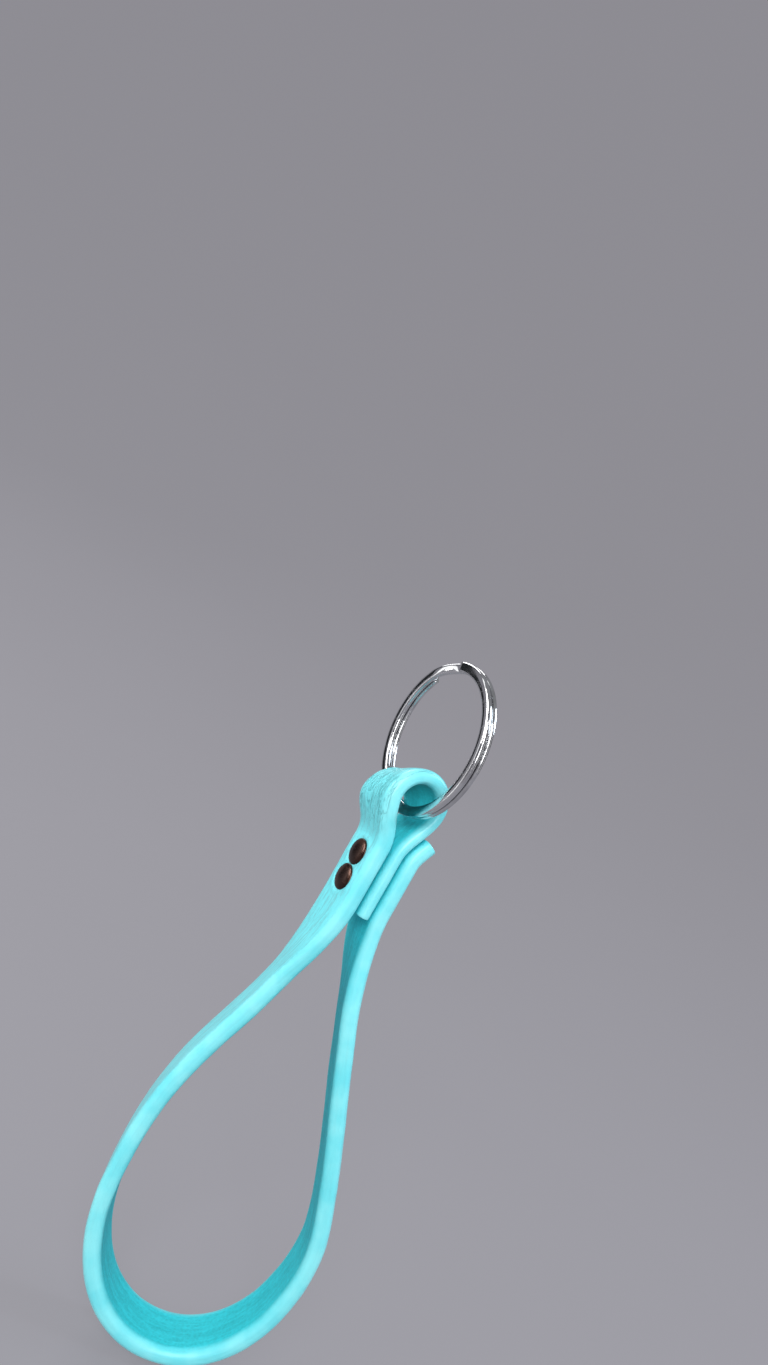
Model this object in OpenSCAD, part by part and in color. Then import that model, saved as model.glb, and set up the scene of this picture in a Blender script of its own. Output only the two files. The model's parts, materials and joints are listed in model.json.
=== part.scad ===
// Wrist lanyard: a leather strap folded over a split ring and closed by two rivets.
// The origin is the inside of the ring's top, where a key or a clip holds it.
// The strap hangs below the ring, and its wrist loop lies in the XZ plane and opens along Y.

/* [Strap] */
// Width of the leather strip
strap_w = 10; // [8:0.5:12]
// Thickness of the leather
leather_t = 3.2; // [2.6:0.1:4]
// Thickness of the pared end that folds over the ring
flap_t = 2.4; // [1.8:0.1:3]
// Bevel along the strip's long edges
edge_bevel = 0.8; // [0.2:0.1:1.2]

/* [Wrist loop] */
// Inside width of the wrist loop at its widest
loop_inside_w = 35.4; // [28:0.2:50]
// Depth of the loop's widest place below the ring's wire
loop_wide_drop = 80.2; // [66:0.2:98]
// Height of the loop's round bottom, from the widest place to the inside of the leather
loop_bottom_h = 23.9; // [19:0.1:30]
// Sideways shift of the loop from the ring's wire
loop_shift = 0.5; // [-2:0.1:2]
// How far the left arm keeps its direction as it leaves the rivets
left_arm_ease = 30; // [24:0.5:36]
// How far the right arm keeps its direction as it leaves the rivets
right_arm_ease = 14; // [10:0.5:24]
// How far the left arm keeps upright above the widest place
left_wide_ease = 30; // [20:0.5:34]
// How far the right arm keeps upright above the widest place
right_wide_ease = 11.5; // [8:0.5:24]
// Turn of the strip about its own length that makes the loop slightly conical
loop_cone = 3; // [0:0.5:6]

/* [Fold and neck] */
// Play between the ring's wire and the inside of the fold as the strap swings
ring_play = 1.3; // [0.6:0.1:1.6]
// Height of the fold's centre above the ring's wire
fold_rise = 2.2; // [1.8:0.1:3]
// Sideways shift of the fold's centre from the ring's wire
fold_shift = -0.1; // [-0.3:0.1:0.3]
// How far past its half turn the fold closes in
fold_close = 8; // [0:1:15]
// How far each wall of the fold keeps its direction as it closes to the neck
fold_ease = 3.4; // [2.5:0.1:4.5]
// How far the fold's back edge sags below its front edge
fold_sag = 2.6; // [0:0.1:2.8]
// How far the right wall's back edge leans to the left of its front edge
fold_lean = 1.8; // [0:0.1:1.8]
// Turn of the fold and neck about the vertical, against the loop
neck_twist = 22.5; // [12:0.5:24]
// Lean of the riveted layers to the right
neck_tilt = 5; // [0:1:8]
// Gap between the layers where they are riveted
layer_gap = 0.8; // [0.4:0.1:1.2]
// Length of the folded end below the lower rivet's head
flap_past = 1.9; // [1:0.1:6]
// Share of the fold's right wall that the strip's outer end reaches up
tail_share = 0.62; // [0.3:0.01:0.7]

/* [Rivets] */
// Diameter of a rivet's domed cap
cap_d = 5; // [4:0.1:5]
// Height of the domed cap
cap_h = 1; // [1:0.1:2]
// How deep the cap bites into the leather
cap_bite = 0.4; // [0.1:0.05:0.5]
// Wall of the cap's thin shell
cap_wall = 0.3; // [0.2:0.05:0.4]
// Distance between the two rivets
rivet_pitch = 5.1; // [5.1:0.1:7]
// Depth of the middle of the two rivets below the ring's wire
rivet_drop = 13.15; // [12.2:0.1:16]
// Sideways place of the middle of the two rivets
rivet_shift = 0.3; // [-1:0.1:2]
// Diameter of the rivet's shank
shank_d = 2; // [1.6:0.1:2.4]
// Wall of the socket that the shank is set in
socket_wall = 0.35; // [0.25:0.05:0.5]
// Depth of the socket in the leather
socket_depth = 2.4; // [1.5:0.1:3]
// Thickness of the disc inside each cap
disc_t = 0.3; // [0.2:0.05:0.4]
// Clearance between the pieces of a rivet
rivet_clear = 0.05; // [0.03:0.01:0.1]
// Clearance of the leather around the socket and around a cap's rim
hole_clear = 0.1; // [0.05:0.05:0.3]

/* [Split ring] */
// Outside diameter of the split ring
ring_d = 30; // [24:0.5:36]
// Width of the flat wire, measured along the ring's radius
wire_w = 2; // [1.6:0.1:2.4]
// Thickness of the flat wire, measured along the ring's axis
wire_t = 1.05; // [0.8:0.05:1.3]
// Bevel on the wire's corners
wire_bevel = 0.25; // [0.1:0.05:0.35]
// Gap between the ring's two coils
coil_gap = 0.1; // [0.08:0.02:0.3]
// Angle over which the wire steps from one coil to the other
step_angle = 30; // [20:2:40]
// Angle left open at each end of the wire
end_angle = 3; // [2:1:6]
// Place of the wire's step around the ring, from its bottom
step_place = 170; // [60:5:300]
// Turn of the ring about the vertical, against the loop
ring_yaw = 23.5; // [18:0.5:27]

/* [Hidden] */

leather_colour = [0.36, 0.84, 0.86];
steel_colour = [0.78, 0.79, 0.8];
bronze_colour = [0.24, 0.13, 0.1];

// Steps along the curves
curve_steps = 18;
arc_steps = 28;
arm_steps = 24;
bottom_steps = 14;
ring_step = 7.5;
dome_steps = 8;
bore_fn = 48;

// Round bottoms keep this share of their radius as a handle, as a circle's quarter does
round_share = 0.58;
// Height of the cap's straight rim and size of the lip that is rolled under its disc
rim_h = 0.45;
lip_t = 0.15;
lip_w = 0.4;
// How far the shank's spread tip reaches beyond the shank
tip_spread = 0.35;
// Straight leather beyond the rivets' caps
straight_margin = 0.1;
// Heights between which the neck's twist and the loop's cone fade, below the ring's wire
twist_top = -19;
twist_bottom = -38;
cone_top = -22;
cone_bottom = -50;
// Heights between which the fold's sag and lean grow, from the ring's wire
sag_bottom = -7;
sag_top = 5;
// Share of the right wall's lean that the left wall takes
left_lean_share = 0.3;

// The ring's wire
ring_mid_r = ring_d / 2 - wire_w / 2;
ring_inside_r = ring_d / 2 - wire_w;
coil_pitch = wire_t + coil_gap;
wire_drop = ring_inside_r + ring_mid_r;

// The fold's inside is the reach of the wire across the strap, and the play around it
skew = ring_yaw - neck_twist;
half_span = strap_w / 2 / cos(skew);
wire_rise = ring_mid_r - sqrt(ring_mid_r * ring_mid_r - half_span * half_span);
wire_reach = norm([wire_w / 2, wire_t + coil_gap / 2]) + wire_rise + strap_w / 2 * tan(skew);
fold_r = wire_reach + ring_play + (leather_t + flap_t) / 4;
fold_centre = [fold_shift, fold_rise];

// The riveted neck: three straight layers, the folded end between the two arms
layer_pitch = (leather_t + flap_t) / 2 + layer_gap;
straight_half = rivet_pitch / 2 + cap_d / 2 + straight_margin;
neck = [rivet_shift, -rivet_drop];
outside_half = layer_pitch + leather_t / 2;
stack_half = outside_half - cap_bite;

// The loop, at the middle of the leather
loop_half = loop_inside_w / 2 + leather_t / 2;
loop_left = [loop_shift - loop_half, -loop_wide_drop];
loop_right = [loop_shift + loop_half, -loop_wide_drop];
loop_foot = [loop_shift, -loop_wide_drop - loop_bottom_h - leather_t / 2];

function up(a) = [sin(a), cos(a)];
function across(a) = [cos(a), -sin(a)];
function unit(v) = v / norm(v);
function smooth(t) = let (c = min(1, max(0, t))) c * c * (3 - 2 * c);
function fade(z, top, bottom) = smooth((z - top) / (bottom - top));

// A place in the neck: layer -1, 0 or 1 from the left, and a distance along it
function layer(k, s) = neck + s * up(neck_tilt) + k * layer_pitch * across(neck_tilt);

// A cubic curve from a to d with handles b and c, as [x, z, thickness] stations
function curve(a, b, c, d, t0, t1, n, last = 1) =
    [for (i = [1 : n])
        let (t = last * i / n, r = 1 - t,
             p = r * r * r * a + 3 * r * r * t * b + 3 * r * t * t * c + t * t * t * d)
        [p.x, p.y, t0 + (t1 - t0) * t]];

fold_right = fold_centre + fold_r * [cos(fold_close), -sin(fold_close)];
fold_left = fold_centre + fold_r * [-cos(fold_close), -sin(fold_close)];
right_wall = [layer(0, straight_half), layer(0, straight_half) + fold_ease * up(neck_tilt),
              fold_right - fold_ease * up(fold_close), fold_right];
left_wall = [fold_left, fold_left - fold_ease * up(-fold_close),
             layer(-1, straight_half) + fold_ease * up(neck_tilt), layer(-1, straight_half)];

// The strip's middle line, from the folded end to the outer end
function flap_line() =
    [for (s = [-straight_half - flap_past, -straight_half, 0, straight_half])
        let (p = layer(0, s)) [p.x, p.y, flap_t]];
function fold_line() =
    [for (i = [1 : arc_steps])
        let (share = i / arc_steps, a = -fold_close + share * (180 + 2 * fold_close),
             p = fold_centre + fold_r * [cos(a), sin(a)])
        [p.x, p.y, flap_t + (leather_t - flap_t) * share]];
function straight_line(k, from, to) =
    [for (s = [(from + to) / 2, to]) let (p = layer(k, s)) [p.x, p.y, leather_t]];
function wall_line(w, t0, t1) = curve(w[0], w[1], w[2], w[3], t0, t1, curve_steps);
function bottom_handle() = [0, round_share * (loop_foot.y + loop_wide_drop)];
function left_arm_line() =
    curve(layer(-1, -straight_half), layer(-1, -straight_half) - left_arm_ease * up(neck_tilt),
          loop_left + [0, left_wide_ease], loop_left, leather_t, leather_t, arm_steps);
function bottom_line() =
    concat(
        curve(loop_left, loop_left + bottom_handle(),
              loop_foot - [round_share * loop_half, 0], loop_foot,
              leather_t, leather_t, bottom_steps),
        curve(loop_foot, loop_foot + [round_share * loop_half, 0],
              loop_right + bottom_handle(), loop_right,
              leather_t, leather_t, bottom_steps));
function right_arm_line() =
    curve(loop_right, loop_right + [0, right_wide_ease],
          layer(1, -straight_half) - right_arm_ease * up(neck_tilt), layer(1, -straight_half),
          leather_t, leather_t, arm_steps);
// The outer end runs beside the fold's right wall, one layer further out
function tail_line() =
    let (w = right_wall,
         wall = concat([[w[0].x, w[0].y, leather_t]],
                       curve(w[0], w[1], w[2], w[3], leather_t, leather_t, curve_steps, tail_share)))
    [for (i = [1 : len(wall) - 1])
        let (next = wall[min(i + 1, len(wall) - 1)], before = wall[i - 1],
             d = unit([next.x - before.x, next.y - before.y]))
        [wall[i].x + layer_pitch * d.y, wall[i].y - layer_pitch * d.x, leather_t]];

strap_line = concat(
    flap_line(),
    wall_line(right_wall, flap_t, flap_t),
    fold_line(),
    wall_line(left_wall, leather_t, leather_t),
    straight_line(-1, straight_half, -straight_half),
    left_arm_line(),
    bottom_line(),
    right_arm_line(),
    straight_line(1, -straight_half, straight_half),
    tail_line());

// A bevelled rectangle, a thick and w wide
function bevelled(a, w, b) =
    let (c = min(b, a * 0.35, w * 0.35))
    [[-a / 2, -w / 2 + c], [-a / 2 + c, -w / 2], [a / 2 - c, -w / 2], [a / 2, -w / 2 + c],
     [a / 2, w / 2 - c], [a / 2 - c, w / 2], [-a / 2 + c, w / 2], [-a / 2, w / 2 - c]];

// Share of the lean at a sideways place, from the fold's left wall to its right wall
function lean_share(x) =
    left_lean_share + (1 - left_lean_share) * smooth((x - fold_shift + fold_r) / (2 * fold_r));

// One cross section of the strip: square to its line, turned by the cone, drawn down at the
// fold's back edge, then twisted by height
function strap_section(i) =
    let (p = strap_line[i],
         next = strap_line[min(i + 1, len(strap_line) - 1)], before = strap_line[max(i - 1, 0)],
         d = unit([next.x - before.x, next.y - before.y]),
         k = loop_cone * fade(p.y, cone_top, cone_bottom))
    [for (q = bevelled(p.z, strap_w, edge_bevel))
        let (u = q.x * cos(k) + q.y * sin(k), y = q.y * cos(k) - q.x * sin(k),
             flat_x = p.x - d.y * u, flat_z = p.y + d.x * u,
             drawn = smooth((y + strap_w / 2) / strap_w) * fade(flat_z, sag_bottom, sag_top),
             x = flat_x - fold_lean * drawn * lean_share(flat_x), z = flat_z - fold_sag * drawn,
             a = neck_twist * (1 - fade(z, twist_top, twist_bottom)))
        [x * cos(a) - y * sin(a), x * sin(a) + y * cos(a), z - wire_drop]];

// A solid through a row of cross sections with the same number of points
module sweep(sections) {
    n = len(sections[0]);
    m = len(sections);
    points = [for (s = sections) each s];
    sides = [for (i = [0 : m - 2], j = [0 : n - 1])
        let (a = i * n + j, b = i * n + (j + 1) % n)
        each [[a, b, b + n], [a, b + n, a + n]]];
    first = [for (j = [1 : n - 2]) [0, j + 1, j]];
    last = [for (j = [1 : n - 2]) [(m - 1) * n, (m - 1) * n + j, (m - 1) * n + j + 1]];
    polyhedron(points, concat(first, sides, last), convexity = 8);
}

// The axis of a rivet: local Z runs through the layers from front cap to back cap
module on_rivet(s) {
    p = layer(0, s);
    translate([0, 0, -wire_drop])
        rotate([0, 0, neck_twist])
            translate([p.x, 0, p.y])
                rotate([0, 90 + neck_tilt, 0])
                    children();
}

// The strap: one strip of leather with two holes through its three layers, and a shallow round
// seat under each cap
module strap() {
    hole_d = shank_d + 2 * (rivet_clear + socket_wall + hole_clear);
    bite_d = cap_d + 2 * hole_clear;
    bite_h = cap_bite + 0.5;
    color(leather_colour)
        difference() {
            sweep([for (i = [0 : len(strap_line) - 1]) strap_section(i)]);
            for (s = [-1, 1])
                on_rivet(s * rivet_pitch / 2) {
                    cylinder(h = 2 * outside_half + 2, d = hole_d, center = true, $fn = bore_fn);
                    for (way = [-1, 1])
                        translate([0, 0, way * (stack_half + bite_h / 2)])
                            cylinder(h = bite_h, d = bite_d, center = true, $fn = bore_fn);
                }
        }
}

// A dome's quarter outline from its rim to its top
function dome(r, base, h) =
    [for (i = [0 : dome_steps])
        let (a = 90 * i / dome_steps) [r * cos(a), base + (h - base) * sin(a)]];

// The thin domed shell of a cap, with its lip rolled under the disc
module cap_shell() {
    r = cap_d / 2;
    inner = dome(r - cap_wall, rim_h, cap_h - cap_wall);
    color(bronze_colour)
        rotate_extrude($fn = bore_fn)
            polygon(concat(
                [[r - cap_wall - lip_w, 0], [r, 0]],
                dome(r, rim_h, cap_h),
                [for (i = [dome_steps : -1 : 0]) inner[i]],
                [[r - cap_wall, lip_t], [r - cap_wall - lip_w, lip_t]]));
}

disc_r = cap_d / 2 - cap_wall - rivet_clear;
disc_top = lip_t + disc_t;
// The spread tip takes half of the room between the disc and the dome
tip_h = (cap_h - cap_wall - disc_top) / 2;
bore_r = shank_d / 2 + rivet_clear;

// The socket: a disc inside the front cap with a tube down into the leather
module socket() {
    color(bronze_colour)
        rotate_extrude($fn = bore_fn)
            polygon([[bore_r, -socket_depth], [bore_r + socket_wall, -socket_depth],
                     [bore_r + socket_wall, lip_t], [disc_r, lip_t],
                     [disc_r, disc_top], [bore_r, disc_top]]);
}

// The stem: a disc inside the back cap, a shank through the layers and a tip spread in the front cap
module stem() {
    r = shank_d / 2;
    far = 2 * stack_half;
    color(bronze_colour)
        rotate_extrude($fn = bore_fn)
            polygon([[0, -disc_top - tip_h], [r, -disc_top - tip_h],
                     [r + tip_spread, -disc_top], [r, -disc_top],
                     [r, far + lip_t], [disc_r, far + lip_t],
                     [disc_r, far + disc_top], [0, far + disc_top]]);
}

module front_cap(s) {
    on_rivet(s) translate([0, 0, -stack_half]) mirror([0, 0, 1]) cap_shell();
}

module front_socket(s) {
    on_rivet(s) translate([0, 0, -stack_half]) mirror([0, 0, 1]) socket();
}

module back_cap(s) {
    on_rivet(s) translate([0, 0, stack_half]) cap_shell();
}

module rivet_stem(s) {
    on_rivet(s) translate([0, 0, -stack_half]) stem();
}

// Axial place of the ring's wire: the first coil, a step across, then the second coil
function coil_place(a) = coil_pitch * (smooth((a - 360 + step_angle) / step_angle) - 0.5);

module split_ring() {
    turns_end = 720 - step_angle - end_angle;
    count = floor((turns_end - end_angle) / ring_step);
    sections = [for (i = [0 : count])
        let (a = end_angle + (turns_end - end_angle) * i / count)
        [for (q = bevelled(wire_w, wire_t, wire_bevel))
            let (r = ring_mid_r + q.x)
            [r * cos(a), r * sin(a), q.y + coil_place(a)]]];
    color(steel_colour)
        translate([0, 0, -ring_inside_r])
            rotate([0, 0, ring_yaw])
                rotate([0, 90, 0])
                    rotate([0, 0, step_place])
                        sweep(sections);
}

upper = rivet_pitch / 2;
lower = -rivet_pitch / 2;

strap();
split_ring();
front_cap(upper);  // upper_front_cap
front_socket(upper);  // upper_socket
rivet_stem(upper);  // upper_stem
back_cap(upper);  // upper_back_cap
front_cap(lower);  // lower_front_cap
front_socket(lower);  // lower_socket
rivet_stem(lower);  // lower_stem
back_cap(lower);  // lower_back_cap
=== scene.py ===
# %% [markdown]
# # A leather wrist lanyard on a split ring
# A strip of turquoise leather is folded over a steel split ring and closed by two double-cap
# rivets, so that it makes a teardrop loop for the wrist. The strap swings on the ring's wire.
# The measured model is loaded first, as a fixed frame. Every piece made here takes its place
# from that frame and rides on one of its two bodies, "ring" or "strap".

# %% Load the measured frame
import json
import math
from bisect import bisect_right
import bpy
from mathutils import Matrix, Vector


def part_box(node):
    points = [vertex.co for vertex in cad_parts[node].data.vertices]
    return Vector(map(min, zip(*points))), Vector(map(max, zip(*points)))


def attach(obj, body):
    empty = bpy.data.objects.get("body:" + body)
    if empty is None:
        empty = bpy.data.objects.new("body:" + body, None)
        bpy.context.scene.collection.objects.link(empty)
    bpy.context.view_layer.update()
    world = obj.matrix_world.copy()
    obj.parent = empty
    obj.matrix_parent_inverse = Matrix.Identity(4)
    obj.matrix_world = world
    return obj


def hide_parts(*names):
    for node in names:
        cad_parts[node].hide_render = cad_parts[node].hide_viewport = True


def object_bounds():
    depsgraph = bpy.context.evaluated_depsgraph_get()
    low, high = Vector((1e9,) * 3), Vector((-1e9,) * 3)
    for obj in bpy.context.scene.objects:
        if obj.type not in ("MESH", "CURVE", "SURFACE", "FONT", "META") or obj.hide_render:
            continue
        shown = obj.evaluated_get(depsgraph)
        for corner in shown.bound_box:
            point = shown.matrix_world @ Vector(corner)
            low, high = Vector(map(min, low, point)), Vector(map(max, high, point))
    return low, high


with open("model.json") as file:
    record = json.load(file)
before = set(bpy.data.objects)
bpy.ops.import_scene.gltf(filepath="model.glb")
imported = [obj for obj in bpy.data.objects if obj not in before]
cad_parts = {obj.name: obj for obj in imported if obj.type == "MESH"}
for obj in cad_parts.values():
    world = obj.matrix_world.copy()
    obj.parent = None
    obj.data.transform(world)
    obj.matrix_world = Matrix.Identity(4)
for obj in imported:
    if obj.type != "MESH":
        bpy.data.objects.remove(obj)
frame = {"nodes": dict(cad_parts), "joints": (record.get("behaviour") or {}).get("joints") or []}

from types import SimpleNamespace

import bmesh
import bpy
from mathutils import Matrix, Vector, noise

MM = 0.001
cad_low, cad_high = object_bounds()
WIRE = Vector(frame["joints"][0]["pos_m"])
print("frame box in mm:", [round(v / MM, 1) for v in (*cad_low, *cad_high)])
print("middle of the ring's wire in mm:", [round(v / MM, 1) for v in WIRE])

# %% [markdown]
# ## The camera
# The camera stands close to the lanyard, a little to its left and higher than the ring's wire,
# and is rolled, so that the hanging strap runs down to the left. A short lens close up gives the
# loop its strong perspective. It could be placed by eye, but it is built here from its own three
# directions, which keeps the roll exact.

# %% Place the camera
YAW, ROLL = math.radians(6), math.radians(25.6)
AWAY, TO_LEFT, RAISED, LENS = 170, 3.4, 22.9, 24.66
level = Vector((math.cos(YAW), -math.sin(YAW), 0))
ahead = Vector((math.sin(YAW), math.cos(YAW), 0))
right = level * math.cos(ROLL) + Vector((0, 0, math.sin(ROLL)))
above = right.cross(ahead)
eye = WIRE - ahead * AWAY * MM - right * TO_LEFT * MM + above * RAISED * MM

camera = bpy.data.objects.new("camera", bpy.data.cameras.new("camera"))
camera.data.lens = LENS
camera.data.clip_start, camera.data.clip_end = 0.01, 20
camera.matrix_world = Matrix((
    (right.x, above.x, -ahead.x, eye.x),
    (right.y, above.y, -ahead.y, eye.y),
    (right.z, above.z, -ahead.z, eye.z),
    (0, 0, 0, 1)))
bpy.context.scene.collection.objects.link(camera)
bpy.context.scene.camera = camera
print("camera at", [round(v, 3) for v in eye])

# %% [markdown]
# ## Two helpers for finished pieces
# Each piece is shaped as a bmesh and then becomes an object that rides on a body and stands for
# a node of the frame, which is then hidden. One helper does that in one place, so that no piece
# forgets its body, its node or its material slot. The other starts a material.

# %% Helpers that finish a piece and start a material
def add_object(name, bm):
    mesh = bpy.data.meshes.new(name)
    bm.to_mesh(mesh)
    bm.free()
    made = bpy.data.objects.new(name, mesh)
    bpy.context.scene.collection.objects.link(made)
    return made


def finish_piece(name, bm, body, node, material):
    bmesh.ops.recalc_face_normals(bm, faces=bm.faces)
    piece = add_object(name, bm)
    piece.data.materials.append(material)
    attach(piece, body)
    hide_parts(node)
    print(name, "has", len(piece.data.polygons), "faces and rides on", body)


def make_material(name):
    material = bpy.data.materials.new(name)
    material.use_nodes = True
    return material, material.node_tree, material.node_tree.nodes["Principled BSDF"]

# %% [markdown]
# ## The way the strap runs
# A strap maker cuts one straight strip, folds one end over the ring, lays it between the two
# arms of the loop and rivets the three layers together. The line below follows the middle of
# the leather from the folded end to the outer end, in millimetres from the ring's wire. It is
# made of straight stretches, one arc and a few easy curves, because leather bends evenly.
# Heights are the second number of each pair. An "ease" is how far a curve keeps its direction.

# %% Sizes of the strip and its riveted layers
STRAP_W, LEATHER, FLAP = 10, 3.2, 2.4
LAYER_GAP = 0.8
LAYER_PITCH = (LEATHER + FLAP) / 2 + LAYER_GAP
RIVET_PITCH, CAP_R, CAP_BITE = 5.1, 2.5, 0.4
STRAIGHT = RIVET_PITCH / 2 + CAP_R + 0.1
NECK, TILT = Vector((0.3, -13.15)), math.radians(5)
FLAP_PAST, TAIL_SHARE = 1.9, 0.62

# %% Sizes of the fold and the loop
FOLD_R, FOLD_AT, FOLD_CLOSE = 5.2, Vector((-0.1, 2.2)), math.radians(8)
FOLD_EASE, LEFT_ARM_EASE, RIGHT_ARM_EASE = 3.4, 30, 14
LEFT_WIDE_EASE, RIGHT_WIDE_EASE = 30, 11.5
LOOP_INSIDE_W, LOOP_SHIFT, LOOP_DROP, LOOP_BOTTOM = 35.4, 0.5, 80.2, 23.9
LOOP_HALF = LOOP_INSIDE_W / 2 + LEATHER / 2
LOOP_LEFT = Vector((LOOP_SHIFT - LOOP_HALF, -LOOP_DROP))
LOOP_RIGHT = Vector((LOOP_SHIFT + LOOP_HALF, -LOOP_DROP))
LOOP_FOOT = Vector((LOOP_SHIFT, -LOOP_DROP - LOOP_BOTTOM - LEATHER / 2))
ROUND_SHARE = 0.58

# %% Directions, places in a riveted layer, and easy curves
def upward(angle):
    return Vector((math.sin(angle), math.cos(angle)))


def layer(k, s):
    return NECK + s * upward(TILT) + k * LAYER_PITCH * Vector((math.cos(TILT), -math.sin(TILT)))


def curve(a, b, c, d, thick=LEATHER, count=60, last=1.0):
    out = []
    for i in range(1, count + 1):
        t = last * i / count
        r = 1 - t
        out.append((r**3 * a + 3 * r * r * t * b + 3 * r * t * t * c + t**3 * d, thick))
    return out

# %% The folded end and the fold, as points with a thickness each
def right_wall():
    fold_right = FOLD_AT + FOLD_R * Vector((math.cos(FOLD_CLOSE), -math.sin(FOLD_CLOSE)))
    return (layer(0, STRAIGHT), layer(0, STRAIGHT) + FOLD_EASE * upward(TILT),
            fold_right - FOLD_EASE * upward(FOLD_CLOSE), fold_right)


def folded_end():
    top = layer(0, STRAIGHT)
    line = [(layer(0, -STRAIGHT - FLAP_PAST + 0.5 * i), FLAP) for i in range(25)]
    line = [p for p in line if p[0].y < top.y] + [(top, FLAP)]
    return line + curve(*right_wall(), thick=FLAP)


def fold_arc():
    line = []
    for i in range(1, 81):
        share = i / 80
        a = -FOLD_CLOSE + share * (math.pi + 2 * FOLD_CLOSE)
        line.append((FOLD_AT + FOLD_R * Vector((math.cos(a), math.sin(a))),
                     FLAP + (LEATHER - FLAP) * share))
    return line


def left_wall():
    fold_left = FOLD_AT + FOLD_R * Vector((-math.cos(FOLD_CLOSE), -math.sin(FOLD_CLOSE)))
    return curve(fold_left, fold_left - FOLD_EASE * upward(-FOLD_CLOSE),
                 layer(-1, STRAIGHT) + FOLD_EASE * upward(TILT), layer(-1, STRAIGHT))

# %% The riveted stretches, the loop and the outer end
def riveted(k, way):
    return [(layer(k, way * STRAIGHT * (i / 10 - 1)), LEATHER) for i in range(1, 21)]


def loop():
    down = Vector((0, ROUND_SHARE * (LOOP_FOOT.y - LOOP_LEFT.y)))
    out = Vector((ROUND_SHARE * LOOP_HALF, 0))
    line = curve(layer(-1, -STRAIGHT), layer(-1, -STRAIGHT) - LEFT_ARM_EASE * upward(TILT),
                 LOOP_LEFT + Vector((0, LEFT_WIDE_EASE)), LOOP_LEFT, count=140)
    line += curve(LOOP_LEFT, LOOP_LEFT + down, LOOP_FOOT - out, LOOP_FOOT, count=90)
    line += curve(LOOP_FOOT, LOOP_FOOT + out, LOOP_RIGHT + down, LOOP_RIGHT, count=90)
    line += curve(LOOP_RIGHT, LOOP_RIGHT + Vector((0, RIGHT_WIDE_EASE)),
                  layer(1, -STRAIGHT) - RIGHT_ARM_EASE * upward(TILT), layer(1, -STRAIGHT),
                  count=140)
    return line


def outer_end():
    wall = right_wall()
    along = [wall[0]] + [p for p, _ in curve(*wall, count=40, last=TAIL_SHARE)]
    line = []
    for before, here, after in zip(along, along[1:], along[2:] + [along[-1]]):
        d = (after - before).normalized()
        line.append((here + LAYER_PITCH * Vector((d.y, -d.x)), LEATHER))
    return line

# %% Join them and measure the strip
LINE = (folded_end() + fold_arc() + left_wall() + riveted(-1, -1) + loop() + riveted(1, 1)
        + outer_end())
RUN = [0.0]
for (a, _), (b, _) in zip(LINE, LINE[1:]):
    RUN.append(RUN[-1] + (b - a).length)
STRIP = RUN[-1]
print("the strip is", round(STRIP, 1), "mm long,", STRAP_W, "mm wide and", LEATHER, "mm thick")

# %% Find a place along the line, and the place on the strip nearest a rivet
def along_line(s):
    s = min(max(s, 0.0), STRIP)
    i = min(max(bisect_right(RUN, s) - 1, 0), len(RUN) - 2)
    t = (s - RUN[i]) / max(RUN[i + 1] - RUN[i], 1e-9)
    (a, ta), (b, tb) = LINE[i], LINE[i + 1]
    return a.lerp(b, t), ta + (tb - ta) * t


def run_at(point):
    return RUN[min(range(len(LINE)), key=lambda i: (LINE[i][0] - point).length)]


FOLD_TOP = run_at(FOLD_AT + Vector((0, FOLD_R)))
RIVETS_ON_STRIP = [run_at(layer(k, s * RIVET_PITCH / 2)) for k in (-1, 1) for s in (-1, 1)]
print("rivets lie", [round(s, 1) for s in RIVETS_ON_STRIP], "mm along the strip")

# %% [markdown]
# ## The strap as a flat strip
# The strap could be a curve with a profile, but then its two faces and its cut edges could not
# differ. It is made as the maker makes it: a flat strip is cut, its long edges are rounded, and
# it is cut into short steps so that it can bend. Each vertex keeps its place on the flat strip
# in an attribute, and the leather's grain is drawn in those flat measures, so that it follows
# the leather round every bend.

# %% Cut the flat strip
LONG_EDGE_ROUND, END_ROUND = 1.35, 0.22
CUTS_ALONG, CUTS_ACROSS = 560, 15


def length_of(edge, axis):
    return abs(edge.verts[0].co[axis] - edge.verts[1].co[axis])


def flat_strip():
    bm = bmesh.new()
    bmesh.ops.create_cube(bm, size=1)
    bmesh.ops.scale(bm, vec=(STRIP, STRAP_W, LEATHER), verts=bm.verts)
    bmesh.ops.translate(bm, vec=(STRIP / 2, 0, 0), verts=bm.verts)
    long_edges = [e for e in bm.edges if length_of(e, 0) > 1]
    bmesh.ops.bevel(bm, geom=long_edges, offset=LONG_EDGE_ROUND, offset_type="OFFSET",
                    segments=7, profile=0.5, affect="EDGES", material=-1)
    ends = [e for e in bm.edges
            if length_of(e, 0) < 0.001 and len({round(f.normal.x) for f in e.link_faces}) > 1]
    bmesh.ops.bevel(bm, geom=ends, offset=END_ROUND, offset_type="OFFSET", segments=2,
                    profile=0.5, affect="EDGES", material=-1)
    across = [e for e in bm.edges if length_of(e, 1) > STRAP_W * 0.6
              and all(abs(f.normal.x) < 0.9 for f in e.link_faces)]
    bmesh.ops.subdivide_edges(bm, edges=across, cuts=CUTS_ACROSS, use_grid_fill=True)
    along = [e for e in bm.edges if length_of(e, 0) > 1]
    bmesh.ops.subdivide_edges(bm, edges=along, cuts=CUTS_ALONG, use_grid_fill=True)
    return bm


strip = flat_strip()
print("the flat strip has", len(strip.verts), "vertices")

# %% [markdown]
# ## Small unevenness, then the bend
# Real leather is never quite flat: it undulates a little, is pressed in under a rivet's cap and
# swells round it. Both are moves of a few tenths of a millimetre at most, made on the flat strip.
# The strip is then bent: a vertex goes to its place along the line, out along the line's
# normal, and the neck is twisted against the loop. The fold's back edge also sags and leans,
# because the soft fold hangs on a ring that crosses it at an angle.

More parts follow.
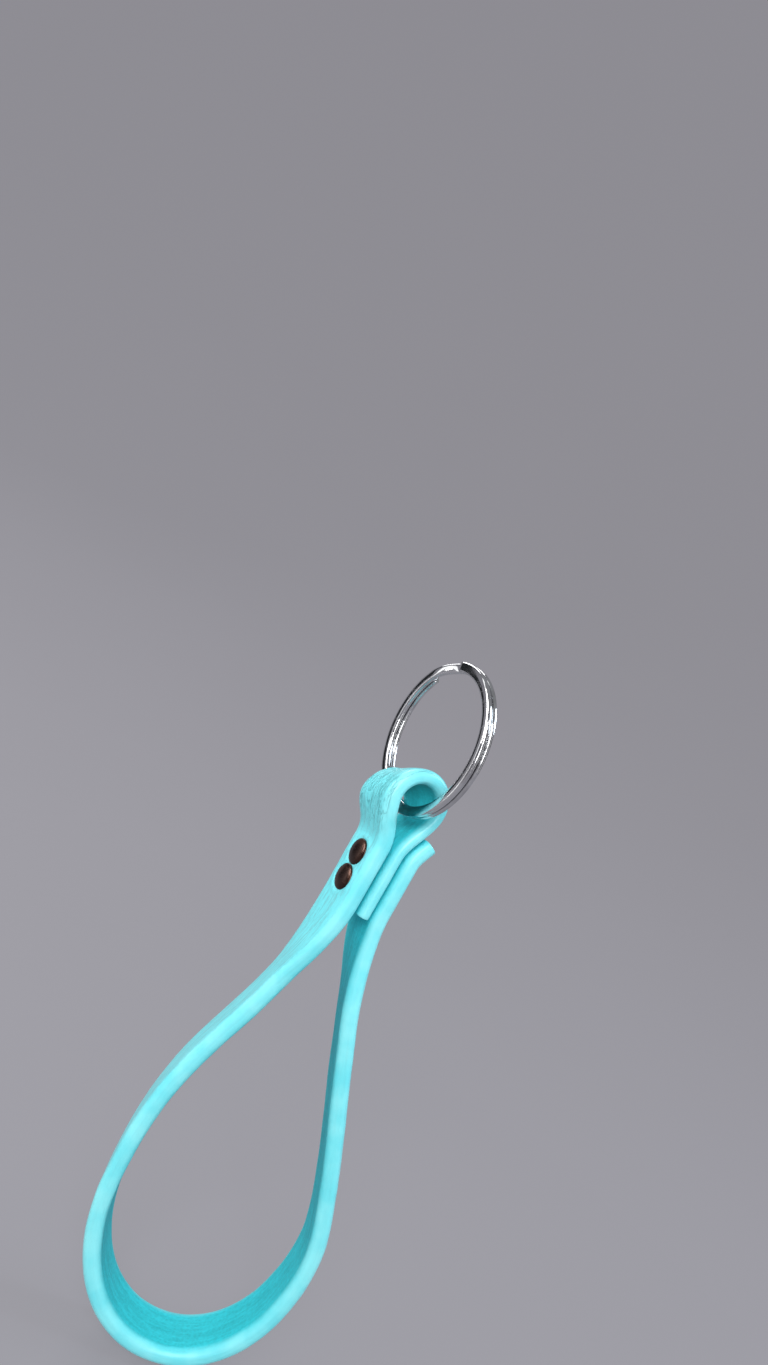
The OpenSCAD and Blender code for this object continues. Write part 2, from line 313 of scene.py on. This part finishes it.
# %% Let the leather undulate and swell round the caps
PRESSED, PRESSED_W = 0.35, 0.8
SWELL, SWELL_AT, SWELL_W = 0.22, 0.6, 0.45


def smooth(t):
    t = min(1, max(0, t))
    return t * t * (3 - 2 * t)


def swelling(x, y, z):
    face = 1 if z > 0 else -1
    # A broad wave, and a finer and lower one on top of it
    wavy = 0.07 * noise.noise(Vector((x / 7, y / 4, face * 5)))
    wavy += 0.03 * noise.noise(Vector((x / 2.2, y / 1.6, face * 9)))
    if face > 0:
        return wavy
    reach = min(math.hypot(x - s, y) for s in RIVETS_ON_STRIP) - CAP_R
    pressed = -PRESSED * (1 - smooth((reach + PRESSED_W) / PRESSED_W))
    swollen = SWELL * math.exp(-((reach - SWELL_AT) / SWELL_W) ** 2)
    return -(pressed + (wavy + swollen) * smooth(reach / 0.4))


flat_place = strip.verts.layers.float_vector.new("flat_mm")
for v in strip.verts:
    v[flat_place] = v.co.copy()
for v in strip.verts:
    on_face = smooth((abs(v.co.z) - 0.9) / 0.5)
    wave = 0.05 * noise.noise(Vector((v.co.x / 9, 3.1 if v.co.y > 0 else -3.1, 0)))
    v.co.z += swelling(*v.co) * on_face
    v.co.y += wave * (1 - on_face)
moved_most = max(abs(v.co.z - v[flat_place].z) for v in strip.verts)
print("the leather moves in or out by up to", round(moved_most, 2), "mm")

# %% Bend the strip along its line and twist its neck
TWIST, TWIST_TOP, TWIST_BOTTOM = math.radians(22.5), -19, -38
CONE, CONE_TOP, CONE_BOTTOM = math.radians(3), -22, -50
SAG, LEAN, SAG_BOTTOM, SAG_TOP = 2.6, 1.8, -7, 5
LEFT_LEAN_SHARE = 0.3


def ramp(value, start, end):
    return smooth((value - start) / (end - start))


def bent(co):
    here, thick = along_line(co.x)
    d = (along_line(co.x + 0.35)[0] - along_line(co.x - 0.35)[0]).normalized()
    overhang = co.x - min(max(co.x, 0.0), STRIP)
    # u is the depth in the leather, k the loop's cone and a the neck's twist
    u = co.z * thick / LEATHER
    k = CONE * ramp(here.y, CONE_TOP, CONE_BOTTOM)
    out = u * math.cos(k) + co.y * math.sin(k)
    y = co.y * math.cos(k) - u * math.sin(k)
    x = here.x - d.y * out + d.x * overhang
    z = here.y + d.x * out + d.y * overhang
    pinched = ramp(y, -STRAP_W / 2, STRAP_W / 2) * ramp(z, SAG_BOTTOM, SAG_TOP)
    to_right = ramp(x, FOLD_AT.x - FOLD_R, FOLD_AT.x + FOLD_R)
    x -= LEAN * pinched * (LEFT_LEAN_SHARE + (1 - LEFT_LEAN_SHARE) * to_right)
    z -= SAG * pinched
    a = TWIST * (1 - ramp(z, TWIST_TOP, TWIST_BOTTOM))
    return WIRE + MM * Vector((x * math.cos(a) - y * math.sin(a),
                               x * math.sin(a) + y * math.cos(a), z))


for v in strip.verts:
    v.co = bent(v.co)
for f in strip.faces:
    f.smooth = len(f.verts) < 8
places = [v.co for v in strip.verts]
spans = [(max(p[i] for p in places) - min(p[i] for p in places)) / MM for i in range(3)]
print("the bent strap spans", [round(s, 1) for s in spans], "mm")

# %% [markdown]
# ## Leather
# The strap is smooth dyed leather with a soft gloss. Close up it has a fine pebbled grain, fine
# streaks that run along the strip, and small creases where it is bent hard over the ring. Its
# cut edges are rubbed smooth and painted paler, partly as a painted highlight, and its inner face
# is duller and deeper in colour, partly as painted shade. One colour would look like plastic, so
# the finish mixes two close tones in soft blotches, darker streaks greyed by a painted
# reflection, crease lines darkened by painted shade, and painted shade in the mouth of the fold
# round the ring. The grain is a node group with the grain's size and the streaks' width as
# inputs, and it reads the flat strip's measures.

# %% Small helpers for shader nodes
def socket(group, name, way, value=None, kind="NodeSocketFloat"):
    made = group.interface.new_socket(name, in_out=way, socket_type=kind)
    if value is not None:
        made.default_value = value


def feed(tree, value, target):
    if isinstance(value, bpy.types.NodeSocket):
        tree.links.new(value, target)
    elif value is not None:
        target.default_value = value


def add(tree, kind, at=(0, 0), inputs=(), **settings):
    node = tree.nodes.new(kind)
    node.location = at
    for key, value in settings.items():
        setattr(node, key, value)
    for key, value in dict(inputs).items():
        feed(tree, value, node.inputs[key])
    return node


def remap(tree, source, low, high, at=(0, 0)):
    node = add(tree, "ShaderNodeMapRange", at, interpolation_type="SMOOTHSTEP",
               inputs={"Value": source, "From Min": low, "From Max": high})
    return node.outputs["Result"]


def calc(tree, operation, *values, at=(0, 0)):
    return add(tree, "ShaderNodeMath", at, dict(enumerate(values)), operation=operation).outputs[0]


def mix_colour(tree, share, a, b, at=(0, 0)):
    node = add(tree, "ShaderNodeMix", at, {"Factor": share}, data_type="RGBA")
    for name, value in (("A", a), ("B", b)):
        target = next(s for s in node.inputs if s.name == name and s.type == "RGBA")
        feed(tree, (*value, 1) if isinstance(value, tuple) else value, target)
    return next(s for s in node.outputs if s.type == "RGBA")

# %% A group for grain, streaks, blotches and creases
def grain_and_streaks(tree, into, out):
    place = into.outputs["Place"]
    bend = add(tree, "ShaderNodeTexNoise", (-700, 300),
               {"Vector": place, "Scale": 1.3, "Detail": 2})
    wander = add(tree, "ShaderNodeVectorMath", (-500, 300), operation="MULTIPLY_ADD",
                 inputs={0: bend.outputs["Color"], 1: (0.35, 0.35, 0.35), 2: place})
    pebbles = add(tree, "ShaderNodeTexVoronoi", (-250, 300), feature="SMOOTH_F1")
    shrink = calc(tree, "DIVIDE", 1, into.outputs["Grain size"], at=(-500, 100))
    for name, value in (("Vector", wander.outputs["Vector"]), ("Scale", shrink),
                        ("Smoothness", 0.4)):
        feed(tree, value, pebbles.inputs[name])
    fine = add(tree, "ShaderNodeTexNoise", (-250, 0), {"Vector": place, "Scale": 7, "Detail": 3})
    both = calc(tree, "MULTIPLY_ADD", fine.outputs["Fac"], 0.35, pebbles.outputs["Distance"],
                at=(100, 250))
    feed(tree, both, out.inputs["Grain"])
    stretch = add(tree, "ShaderNodeVectorMath", (-450, -450), operation="MULTIPLY",
                  inputs={0: wander.outputs["Vector"], 1: (0.09, 1, 1)})
    thin = calc(tree, "DIVIDE", 1, into.outputs["Streak width"], at=(-500, -250))
    streaks = add(tree, "ShaderNodeTexNoise", (-200, -400),
                  {"Vector": stretch.outputs["Vector"], "Scale": thin, "Detail": 4,
                   "Roughness": 0.6})
    feed(tree, streaks.outputs["Fac"], out.inputs["Streaks"])


def blotches_and_creases(tree, into, out):
    place = into.outputs["Place"]
    cloud = add(tree, "ShaderNodeTexNoise", (-200, -700),
                {"Vector": place, "Scale": 0.16, "Detail": 3})
    feed(tree, cloud.outputs["Fac"], out.inputs["Blotches"])
    draw = add(tree, "ShaderNodeVectorMath", (-450, -900), operation="MULTIPLY",
               inputs={0: place, 1: (0.24, 1, 1)})
    ripples = add(tree, "ShaderNodeTexNoise", (-200, -950),
                  {"Vector": draw.outputs["Vector"], "Scale": 0.8, "Detail": 2,
                   "Distortion": 0.9})
    # A crease runs wherever the noise crosses its middle value
    off_middle = calc(tree, "SUBTRACT", ripples.outputs["Fac"], 0.5, at=(0, -950))
    off_line = calc(tree, "ABSOLUTE", off_middle, at=(150, -950))
    feed(tree, remap(tree, off_line, 0.032, 0.0, (300, -950)), out.inputs["Creases"])


def leather_grain():
    group = bpy.data.node_groups.new("leather grain", "ShaderNodeTree")
    socket(group, "Place", "INPUT", kind="NodeSocketVector")
    socket(group, "Grain size", "INPUT", 0.55)
    socket(group, "Streak width", "INPUT", 0.5)
    for name in ("Grain", "Streaks", "Blotches", "Creases"):
        socket(group, name, "OUTPUT")
    into = add(group, "NodeGroupInput", (-900, 0))
    out = add(group, "NodeGroupOutput", (700, 0))
    grain_and_streaks(group, into, out)
    blotches_and_creases(group, into, out)
    return group


GRAIN = leather_grain()
print("the leather grain has", len(GRAIN.nodes), "nodes")

# %% Where the leather is grain, edge, inner face, hard bend or crease
def leather_masks(tree):
    place = add(tree, "ShaderNodeAttribute", (-1600, 0), attribute_name="flat_mm")
    place = place.outputs["Vector"]
    grain = add(tree, "ShaderNodeGroup", (-1200, 200), node_tree=GRAIN)
    feed(tree, place, grain.inputs["Place"])
    run, side, depth = add(tree, "ShaderNodeSeparateXYZ", (-1400, -200), {0: place}).outputs
    # Each mask fades between two places on the flat strip, in millimetres across, through or
    # along it.
    aside = calc(tree, "ABSOLUTE", side, at=(-1200, -200))
    edge = remap(tree, aside, STRAP_W / 2 - 1.8, STRAP_W / 2 - 0.3, (-1000, -200))
    flesh = remap(tree, depth, 0.7, 1.45, (-1000, -350))
    past_fold = calc(tree, "SUBTRACT", run, FOLD_TOP + 5, at=(-1200, -500))
    far = calc(tree, "ABSOLUTE", past_fold, at=(-1050, -500))
    hard_bend = remap(tree, far, 13, 4, (-900, -500))
    outer = remap(tree, depth, -0.6, -1.2, (-900, -650))
    creased = calc(tree, "MULTIPLY", hard_bend, outer, at=(-700, -550))
    fine_lines = calc(tree, "MULTIPLY_ADD", flesh, 0.10, creased, at=(-600, -700))
    lines = calc(tree, "MULTIPLY", grain.outputs["Creases"], fine_lines, at=(-450, -700))
    return SimpleNamespace(
        grain=grain.outputs["Grain"], streaks=grain.outputs["Streaks"],
        blotches=grain.outputs["Blotches"], edge=edge, flesh=flesh, hard_bend=hard_bend,
        creased=creased, lines=lines)

# %% The colour of each face and of the rubbed edges, with painted shade, highlight and reflection
GRAIN_SIDE = (0.145, 0.680, 0.750), (0.190, 0.800, 0.860)
# The inner face's duller tones, made deeper partly as painted shade of the inside of the loop
FLESH_SIDE_AND_SHADE = (0.016, 0.430, 0.480), (0.040, 0.680, 0.770)
EDGE_PAINT_AND_HIGHLIGHT = (0.150, 0.730, 0.800), (0.265, 0.820, 0.860)
# A grey streak tone that is partly a painted reflection, a deep green painted shade for the fold's
# mouth, and a darker painted shade for the crease lines
STREAK_AND_REFLECTION, FOLD_MOUTH_SHADE, CREASE_SHADE = (0.155, 0.400, 0.440), (0.001, 0.190, 0.170), (0.035, 0.360, 0.390)


def leather_colour(tree, m):
    # Darker streaks along the leather, their grey tone a painted reflection of the grey room;
    # fewer near the fold
    streak_and_reflection = remap(tree, m.streaks, 0.52, 0.36, (-800, 350))
    away = calc(tree, "MULTIPLY_ADD", m.hard_bend, -0.3, 0.48, at=(-800, 200))
    grain_side = mix_colour(tree, m.blotches, *GRAIN_SIDE, (-700, 600))
    streaked_and_reflecting = mix_colour(tree, calc(tree, "MULTIPLY", streak_and_reflection, away), grain_side, STREAK_AND_REFLECTION,
                          (-500, 550))
    part_grain = calc(tree, "MULTIPLY", m.grain, 0.16, at=(-1000, 550))
    rough_side = calc(tree, "MULTIPLY_ADD", m.streaks, 0.55, part_grain, at=(-900, 500))
    fibres = remap(tree, rough_side, 0.10, 0.62, (-800, 500))
    flesh_and_shade = mix_colour(tree, fibres, *FLESH_SIDE_AND_SHADE, (-650, 350))
    # Painted shade: the inner face turns deep green near the top of the fold, in the shaded mouth
    # round the ring
    mouth_shade = calc(tree, "MULTIPLY", m.hard_bend, 0.62)
    flesh_and_mouth_shade = mix_colour(tree, mouth_shade, flesh_and_shade, FOLD_MOUTH_SHADE, (-500, 350))
    faces = mix_colour(tree, m.flesh, streaked_and_reflecting, flesh_and_mouth_shade, (-350, 450))
    # Painted shade: the crease lines are darkened in colour, where shade would lie in them
    crease_shaded = mix_colour(tree, calc(tree, "MULTIPLY", m.lines, 0.55), faces, CREASE_SHADE, (-280, 300))
    # The cut edges' own paint, made paler and whiter than the faces as a painted highlight
    pale = remap(tree, m.blotches, 0.30, 0.70, (-600, 750))
    edge_paint_and_highlight = mix_colour(tree, pale, *EDGE_PAINT_AND_HIGHLIGHT, (-400, 700))
    return mix_colour(tree, calc(tree, "MULTIPLY", m.edge, 0.85), crease_shaded, edge_paint_and_highlight, (-200, 400))

# %% Its gloss and its small relief
def leather_gloss(tree, m, skin):
    rough = calc(tree, "MULTIPLY_ADD", m.grain, 0.16, 0.34, at=(-400, 0))
    rougher = calc(tree, "MULTIPLY_ADD", m.flesh, 0.30, rough, at=(-200, 0))
    burnished = calc(tree, "MULTIPLY_ADD", m.edge, -0.12, rougher, at=(-50, 0))
    feed(tree, burnished, skin.inputs["Roughness"])
    glaze = calc(tree, "MULTIPLY_ADD", m.flesh, -0.30, 0.32, at=(-200, 150))
    edge_glaze = calc(tree, "MULTIPLY_ADD", m.edge, 0.25, glaze, at=(-50, 150))
    feed(tree, edge_glaze, skin.inputs["Coat Weight"])
    skin.inputs["Specular IOR Level"].default_value = 0.2
    skin.inputs["Coat Roughness"].default_value = 0.28
    skin.inputs["Sheen Weight"].default_value = 0.03
    skin.inputs["Sheen Roughness"].default_value = 0.5


def leather_relief(tree, m):
    quiet = calc(tree, "SUBTRACT", 1.0, m.edge, at=(-800, 0))
    pebble_height = calc(tree, "MULTIPLY", m.grain, quiet, at=(-600, -50))
    small = calc(tree, "MULTIPLY", pebble_height, 0.035, at=(-400, -150))
    line_height = calc(tree, "MULTIPLY", m.streaks, 0.09, at=(-600, -250))
    height = calc(tree, "ADD", small, line_height, at=(-200, -200))
    ridges = remap(tree, m.streaks, 0.40, 0.50, (-600, -400))
    crease_height = calc(tree, "MULTIPLY", m.creased, 0.9, at=(-500, -450))
    crease_lines = calc(tree, "MULTIPLY", crease_height, ridges, at=(-300, -400))
    deep = calc(tree, "MULTIPLY_ADD", m.lines, -0.14, height, at=(-100, -350))
    total = calc(tree, "MULTIPLY_ADD", crease_lines, 0.10, deep, at=(0, -250))
    bump = add(tree, "ShaderNodeBump", (100, -100),
               {"Strength": 0.9, "Distance": 1.0 * MM, "Height": total})
    return bump.outputs["Normal"]

# %% Put the leather together and finish the strap
def turquoise_leather():
    material, tree, skin = make_material("turquoise leather")
    masks = leather_masks(tree)
    feed(tree, leather_colour(tree, masks), skin.inputs["Base Color"])
    leather_gloss(tree, masks, skin)
    feed(tree, leather_relief(tree, masks), skin.inputs["Normal"])
    return material


finish_piece("leather_strap", strip, "strap", "strap", turquoise_leather())

# %% [markdown]
# ## Bright metal with small scratches
# The ring is polished steel, and the rivets are plated dark bronze. Both are handled all day, so
# fine scratches run over them and the plating is a little worn. One group makes the scratches
# and the rubbed patches, and each metal uses them in its own strength.

# %% A group for scratches and rubbed patches
def metal_wear():
    group = bpy.data.node_groups.new("metal wear", "ShaderNodeTree")
    socket(group, "Scratch size", "INPUT", 900.0)
    for name in ("Scratches", "Rubbed"):
        socket(group, name, "OUTPUT")
    into = add(group, "NodeGroupInput", (-900, 0))
    out = add(group, "NodeGroupOutput", (500, 0))
    place = add(group, "ShaderNodeTexCoord", (-900, -300)).outputs["Object"]
    turned = add(group, "ShaderNodeMapping", (-700, -100),
                 {"Vector": place, "Rotation": (0.6, 0.3, 0.8), "Scale": (1, 0.08, 1)})
    lines = add(group, "ShaderNodeTexNoise", (-450, 0),
                {"Vector": turned.outputs["Vector"], "Scale": into.outputs["Scratch size"],
                 "Detail": 5, "Roughness": 0.7})
    scratches = remap(group, lines.outputs["Fac"], 0.56, 0.66, (-200, 0))
    patches = add(group, "ShaderNodeTexNoise", (-450, -300),
                  {"Vector": place, "Scale": 260, "Detail": 4})
    rubbed = remap(group, patches.outputs["Fac"], 0.45, 0.65, (-200, -300))
    feed(group, scratches, out.inputs["Scratches"])
    feed(group, rubbed, out.inputs["Rubbed"])
    return group


WEAR = metal_wear()
print("the metal wear has", len(WEAR.nodes), "nodes")

# %% Polished steel and dark bronze
def worn_metal(name, colour, rubbed_colour, rough, rubbed_rough, coat, scratch_depth):
    material, tree, skin = make_material(name)
    wear = add(tree, "ShaderNodeGroup", (-700, 0), node_tree=WEAR).outputs
    tint = mix_colour(tree, wear["Rubbed"], colour, rubbed_colour, (-400, 200))
    feed(tree, tint, skin.inputs["Base Color"])
    skin.inputs["Metallic"].default_value = 1.0
    patchy = calc(tree, "MULTIPLY_ADD", wear["Rubbed"], rubbed_rough - rough, rough,
                  at=(-400, 0))
    scored = calc(tree, "MULTIPLY_ADD", wear["Scratches"], 0.12, patchy, at=(-200, 0))
    feed(tree, scored, skin.inputs["Roughness"])
    skin.inputs["Coat Weight"].default_value = coat
    skin.inputs["Coat Roughness"].default_value = 0.18
    bump = add(tree, "ShaderNodeBump", (-200, -250), invert=True,
               inputs={"Strength": scratch_depth, "Distance": 0.02 * MM,
                       "Height": wear["Scratches"]})
    feed(tree, bump.outputs["Normal"], skin.inputs["Normal"])
    return material


polished_steel = worn_metal("polished steel", (0.66, 0.67, 0.68), (0.52, 0.52, 0.53),
                            0.06, 0.12, 0.0, 0.35)
dark_bronze = worn_metal("dark bronze", (0.048, 0.024, 0.017), (0.090, 0.042, 0.028),
                         0.26, 0.36, 0.25, 0.5)
print("metals:", polished_steel.name, "and", dark_bronze.name)

# %% [markdown]
# ## The split ring
# A split ring is flat wire wound twice round, so that a key can be threaded between its coils.
# Half-way the wire steps from one coil to the other. A plain torus would miss the groove, the
# step and the two cut ends. Here the wire's section is spun in three goes: once round flat,
# across the step with a sideways shift, and once round flat again.

# %% Sizes of the ring
ring_low, ring_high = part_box("split_ring")
RING_R = (ring_high[2] - ring_low[2]) / 2
WIRE_W, WIRE_T, COIL_PITCH = 2.0, 1.05, 1.15
MID_R = RING_R / MM - WIRE_W / 2
STEP, END = 30, 3
RING_YAW, STEP_PLACE = math.radians(23.5), math.radians(170)
SQUARENESS = 0.62
print("the ring is", round(2 * RING_R / MM, 1), "mm across")

# %% Wind the wire
def wind_wire():
    bm = bmesh.new()
    bmesh.ops.create_circle(bm, cap_ends=True, segments=32, radius=1)
    for v in bm.verts:
        for i, half in ((0, WIRE_W / 2), (1, WIRE_T / 2)):
            v.co[i] = math.copysign(abs(v.co[i]) ** SQUARENESS, v.co[i]) * half
    bmesh.ops.rotate(bm, cent=(0, 0, 0), matrix=Matrix.Rotation(math.pi / 2, 3, "X"),
                     verts=bm.verts)
    bmesh.ops.translate(bm, vec=(MID_R, 0, -COIL_PITCH / 2), verts=bm.verts)
    bmesh.ops.rotate(bm, cent=(0, 0, 0), matrix=Matrix.Rotation(math.radians(END), 3, "Z"),
                     verts=bm.verts)
    last = bm.faces[:] + bm.edges[:] + bm.verts[:]
    once = 360 - STEP - END
    for angle, steps, shift in ((once, 150, 0), (STEP, 16, COIL_PITCH), (once, 150, 0)):
        made = bmesh.ops.spin(bm, geom=last, cent=(0, 0, 0), axis=(0, 0, 1),
                              dvec=(0, 0, shift / steps), angle=math.radians(angle),
                              steps=steps, use_duplicate=False)
        last = made["geom_last"]
    return bm


def smooth_step(bm):
    for v in bm.verts:
        turn = math.degrees(math.atan2(v.co.y, v.co.x)) % 360
        if 360 - STEP < turn:
            share = (turn - 360 + STEP) / STEP
            v.co.z += COIL_PITCH * (smooth(share) - share)


wire = wind_wire()
smooth_step(wire)
wire_open = sum(e.is_boundary for e in wire.edges)
spread = max(v.co.z for v in wire.verts) - min(v.co.z for v in wire.verts)
print("open edges in the wire:", wire_open, "and its two coils measure", round(spread, 2), "mm")

# %% Keep its cut ends flat, and hang it in its place
for f in wire.faces:
    f.smooth = len(f.verts) <= 8
bmesh.ops.transform(wire, verts=wire.verts, matrix=(
    Matrix.Translation(WIRE + Vector((0, 0, MID_R * MM)))
    @ Matrix.Rotation(RING_YAW, 4, "Z") @ Matrix.Rotation(math.pi / 2, 4, "Y")
    @ Matrix.Rotation(STEP_PLACE, 4, "Z") @ Matrix.Scale(MM, 4)))
finish_piece("split_ring_wire", wire, "ring", "split_ring", polished_steel)

# %% [markdown]
# ## The rivets' caps
# Each rivet has a domed cap on both faces. The cap is a thin pressed shell: a low dome, a short
# straight rim and a rounded foot that bites into the leather. Half a sphere, flattened, gives
# the dome, and its open edge is pulled down for the rim and in for the foot.

# %% Press one cap
CAP_H, RIM = 1.0, 0.45
FOOT = (0.09, 0.985), (0.05, 0.95)
STACK = LAYER_PITCH + LEATHER / 2 - CAP_BITE


def press_cap():
    bm = bmesh.new()
    bmesh.ops.create_uvsphere(bm, u_segments=64, v_segments=32, radius=1)
    bmesh.ops.bisect_plane(bm, geom=bm.verts[:] + bm.edges[:] + bm.faces[:], dist=1e-5,
                           plane_co=(0, 0, 0), plane_no=(0, 0, 1), clear_inner=True)
    bmesh.ops.scale(bm, vec=(CAP_R, CAP_R, CAP_H - RIM), verts=bm.verts)
    bmesh.ops.translate(bm, vec=(0, 0, RIM), verts=bm.verts)
    straight_rim = RIM - sum(drop for drop, _ in FOOT)
    for drop, squeeze in ((straight_rim, 1.0), *FOOT):
        rim = [e for e in bm.edges if e.is_boundary]
        new = bmesh.ops.extrude_edge_only(bm, edges=rim)["geom"]
        moved = [g for g in new if isinstance(g, bmesh.types.BMVert)]
        bmesh.ops.translate(bm, vec=(0, 0, -drop), verts=moved)
        bmesh.ops.scale(bm, vec=(squeeze, squeeze, 1), verts=moved)
    bmesh.ops.holes_fill(bm, edges=[e for e in bm.edges if e.is_boundary], sides=0)
    for f in bm.faces:
        f.smooth = len(f.verts) < 8
    return bm

# %% Set the four caps
def rivet_place(s):
    here = layer(0, s)
    return (Matrix.Translation(WIRE) @ Matrix.Rotation(TWIST, 4, "Z")
            @ Matrix.Translation(Vector((here.x, 0, here.y)) * MM)
            @ Matrix.Rotation(math.pi / 2 + TILT, 4, "Y") @ Matrix.Scale(MM, 4))


for level_name, s in (("upper", RIVET_PITCH / 2), ("lower", -RIVET_PITCH / 2)):
    for side_name, way in (("front", -1), ("back", 1)):
        cap = press_cap()
        turn = Matrix.Rotation(math.pi, 4, "X") if way < 0 else Matrix.Identity(4)
        bmesh.ops.transform(cap, verts=cap.verts, matrix=(
            rivet_place(s) @ Matrix.Translation((0, 0, way * STACK)) @ turn))
        node = f"{level_name}_{side_name}_cap"
        finish_piece(f"{node}_dome", cap, "strap", node, dark_bronze)

# %% [markdown]
# ## The rivets' inner pieces
# Under the caps sit a socket with a thin tube and a stem that is driven through all the layers.
# Their measured shapes are right and almost hidden, so they stay as they are and only take the
# bronze finish.

# %% Give the inner pieces their finish
for level_name in ("upper", "lower"):
    for inner in ("socket", "stem"):
        piece = frame["nodes"][f"{level_name}_{inner}"]
        piece.data.materials.clear()
        piece.data.materials.append(dark_bronze)
        print(piece.name, "takes", dark_bronze.name)

# %% [markdown]
# ## A round, seamless studio
# The floor is a wide shallow bowl: flat under the lanyard, and curving up all round into a pale
# wall, so that no horizon shows from any side. It lies just under the loop. Its paper glows a
# little, as if lit from all round, which keeps the shadows light.

# %% Build the studio
FLAT_R, BOWL_CUTS, WALL_H = 0.2, 12, 0.4
FLOOR_GAP = 1.2 * MM


def pull_rim(bm, grow, rise):
    rim = [e for e in bm.edges if e.is_boundary]
    new = bmesh.ops.extrude_edge_only(bm, edges=rim)["geom"]
    moved = [g for g in new if isinstance(g, bmesh.types.BMVert)]
    bmesh.ops.scale(bm, vec=(grow, grow, 1), verts=moved)
    bmesh.ops.translate(bm, vec=(0, 0, rise), verts=moved)


def studio():
    bm = bmesh.new()
    bmesh.ops.create_circle(bm, cap_ends=True, segments=96, radius=FLAT_R)
    for i in range(1, BOWL_CUTS + 1):
        a, b = (math.radians(90 * n / BOWL_CUTS) for n in (i - 1, i))
        pull_rim(bm, (FLAT_R + math.sin(b)) / (FLAT_R + math.sin(a)), math.cos(a) - math.cos(b))
    pull_rim(bm, 1, WALL_H)
    bmesh.ops.translate(bm, vec=(0, 0, cad_low[2] - FLOOR_GAP), verts=bm.verts)
    for f in bm.faces:
        f.smooth = len(f.verts) < 8
    bmesh.ops.recalc_face_normals(bm, faces=bm.faces)
    bmesh.ops.reverse_faces(bm, faces=bm.faces)
    return add_object("studio", bm)


def studio_paper():
    material, tree, skin = make_material("studio paper")
    place = add(tree, "ShaderNodeTexCoord", (-700, 0)).outputs["Object"]
    fibres = add(tree, "ShaderNodeTexNoise", (-500, 0), {"Vector": place, "Scale": 6, "Detail": 3})
    tint = mix_colour(tree, fibres.outputs["Fac"], (0.060, 0.058, 0.065), (0.070, 0.068, 0.076),
                      (-250, 0))
    feed(tree, tint, skin.inputs["Base Color"])
    skin.inputs["Roughness"].default_value = 0.85
    skin.inputs["Emission Color"].default_value = (0.90, 0.88, 0.97, 1)
    skin.inputs["Emission Strength"].default_value = 0.265
    return material


floor = studio()
floor.data.materials.append(studio_paper())
print("the studio has", len(floor.data.polygons), "faces")

# %% [markdown]
# ## Soft light
# A large lamp over the camera's right shoulder lights the cut edges and the top of the fold, and
# one close to the camera softens its shadows. A warm one fills the left side, a cool one from the
# right draws the thin bright line down the outer side of the strap, and one behind lights the far
# edges. Polished steel shows little but what stands round it, and a pale empty room leaves it
# grey. A few tall dark and bright cards, which only show in reflections, give it its bands.
# Strong small lamps would do it too, but they would glare on the leather.

# %% Hang the lamps
def lamp(name, offset, size, power, colour=(1, 1, 1)):
    data = bpy.data.lights.new(name, "AREA")
    data.shape, data.size, data.energy, data.color = "DISK", size, power, colour
    holder = bpy.data.objects.new(name, data)
    middle = WIRE + Vector((0, 0, -0.04))
    at = middle + right * offset[0] + above * offset[1] - ahead * offset[2]
    holder.matrix_world = (Matrix.Translation(at)
                           @ (middle - at).to_track_quat("-Z", "Y").to_matrix().to_4x4())
    bpy.context.scene.collection.objects.link(holder)
    print(name, "is", round((middle - at).length, 2), "m away")


lamp("key lamp", (0.10, 0.34, 0.50), 0.30, 2.5)
lamp("front lamp", (0.08, 0.08, 0.60), 0.26, 1.2)
lamp("left lamp", (-0.42, 0.46, 0.06), 0.26, 1.6, (1.0, 0.98, 0.95))
lamp("right lamp", (0.50, 0.16, -0.05), 0.24, 1.3, (0.80, 0.90, 1.0))
lamp("back lamp", (-0.05, 0.50, -0.35), 0.35, 1.2)

# %% Hang the cards that only reflections show
CARD_AWAY, CARD_H = 0.42, 0.9


def card(name, degrees, width, glow):
    bm = bmesh.new()
    bmesh.ops.create_grid(bm, x_segments=1, y_segments=1, size=0.5)
    bmesh.ops.transform(bm, verts=bm.verts, matrix=(
        Matrix.Translation(WIRE) @ Matrix.Rotation(math.radians(degrees), 4, "Z")
        @ Matrix.Translation((0, -CARD_AWAY, 0)) @ Matrix.Rotation(math.pi / 2, 4, "X")
        @ Matrix.Diagonal((width, CARD_H, 1, 1))))
    sheet = add_object(name, bm)
    material, _, skin = make_material(name)
    skin.inputs["Base Color"].default_value = (0.01, 0.012, 0.014, 1)
    skin.inputs["Roughness"].default_value = 0.9
    skin.inputs["Emission Color"].default_value = (1, 1, 1, 1)
    skin.inputs["Emission Strength"].default_value = glow
    sheet.data.materials.append(material)
    sheet.visible_camera = sheet.visible_diffuse = sheet.visible_shadow = False


for degrees, width in ((-127, 0.09), (-75, 0.10), (53, 0.08), (82, 0.08)):
    card(f"dark_card_{degrees}", degrees, width, 0)
for degrees, width in ((-106, 0.05), (34, 0.05), (67, 0.03)):
    card(f"bright_card_{degrees}", degrees, width, 1.6)

# %% Fill the air with a little light
world = bpy.data.worlds.new("studio air")
bpy.context.scene.world = world
world.use_nodes = True
air = world.node_tree.nodes["Background"].inputs
air["Color"].default_value = (0.80, 0.82, 0.86, 1)
air["Strength"].default_value = 0.35
bpy.context.scene.view_settings.view_transform = "Standard"
print("the air glows at", round(air["Strength"].default_value, 2))
